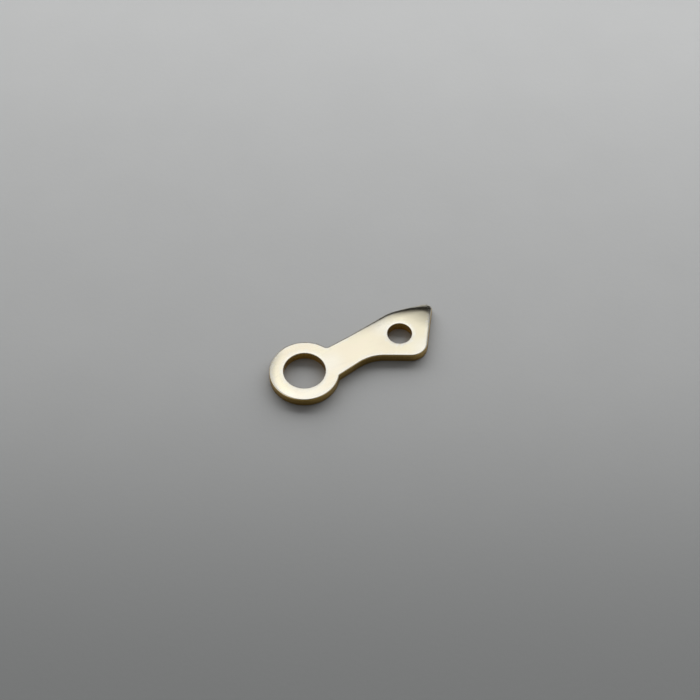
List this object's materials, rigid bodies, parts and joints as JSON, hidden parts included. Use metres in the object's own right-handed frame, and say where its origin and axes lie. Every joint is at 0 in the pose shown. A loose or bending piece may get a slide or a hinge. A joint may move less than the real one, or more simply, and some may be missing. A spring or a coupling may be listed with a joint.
{
  "type": "date jumper",
  "caption": "Small flat stamped lever of a watch calendar: a pivot ring, a waisted arm, and a wide head with a small hole and a blunt beak that drops between the teeth of a date ring.",
  "frame": {"origin": "axis of the pivot bore, at the flat underside", "axes": "+Z along the pivot bore towards the bevelled upper face, +X from the pivot bore towards the small hole in the head"},
  "size_m": [0.0062, 0.0024, 0.0003],
  "materials": {
    "gilt_metal": "polished upper face and bevels, plain stamped walls"
  },
  "bodies": {
    "root": {"jumper_lever": "gilt_metal"}
  },
  "joints": []
}
